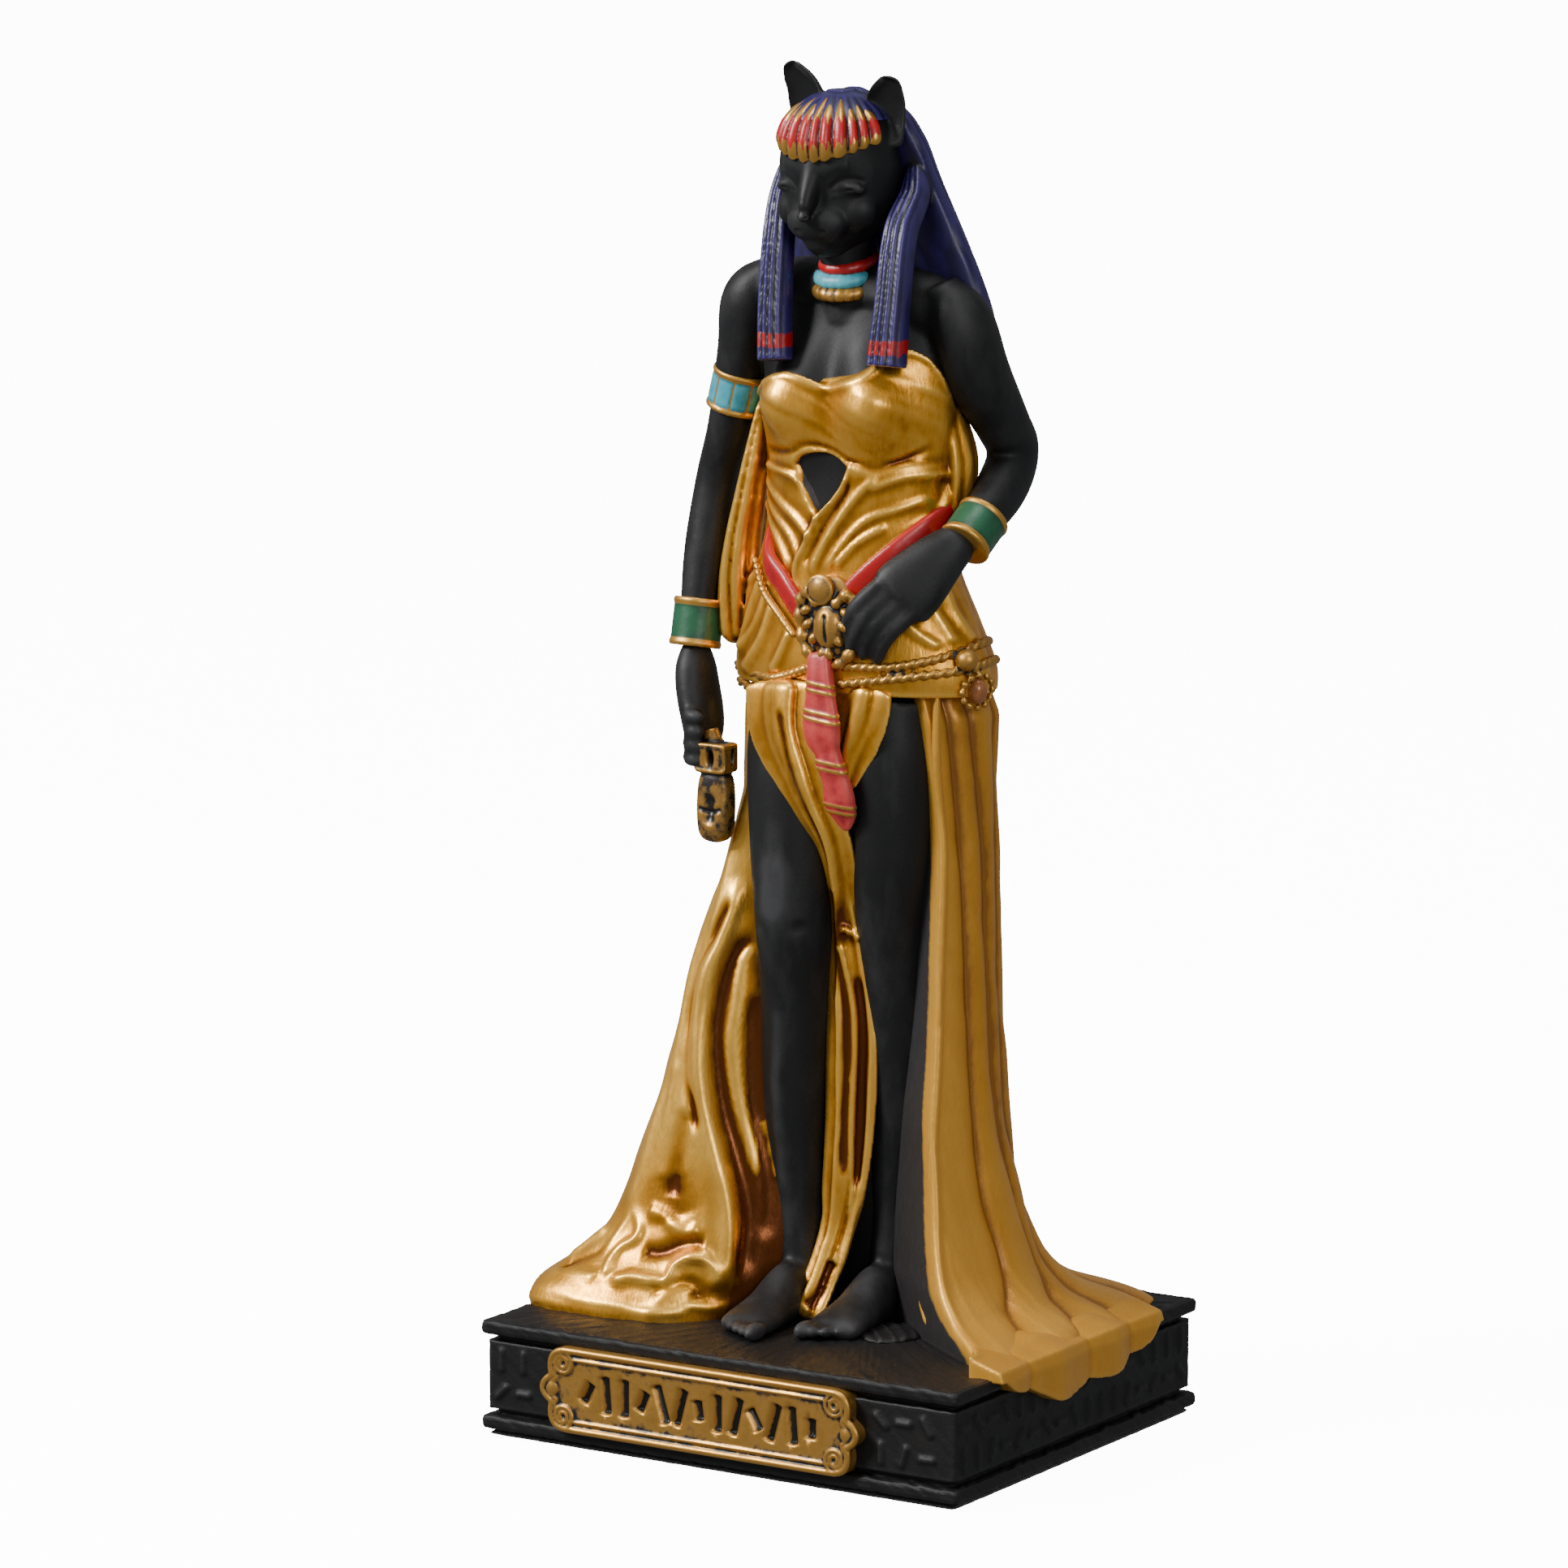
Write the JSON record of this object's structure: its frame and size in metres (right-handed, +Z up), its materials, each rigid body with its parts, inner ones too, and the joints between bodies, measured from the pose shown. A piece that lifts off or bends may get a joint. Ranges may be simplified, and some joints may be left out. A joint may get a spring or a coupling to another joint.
{
  "type": "cat-headed goddess figurine",
  "caption": "Cast resin figurine of a standing cat-headed woman in a long draped robe, on an oblong plinth with a nameplate and a felt underside.",
  "frame": {"origin": "centre of the felt underside, which rests on the table", "axes": "+Z up through the figure's head; -Y is the front, which the figure and the nameplate face; +X is the viewer's right, the figure's own left"},
  "size_m": [0.0372, 0.0312, 0.0889],
  "materials": {
    "painted_resin": "hand-painted: antique gold robe, soft black skin, indigo wig, with red, turquoise and green jewellery",
    "felt": "black felt"
  },
  "bodies": {
    "root": {"figurine": "painted_resin", "felt_pad": "felt"}
  },
  "joints": []
}
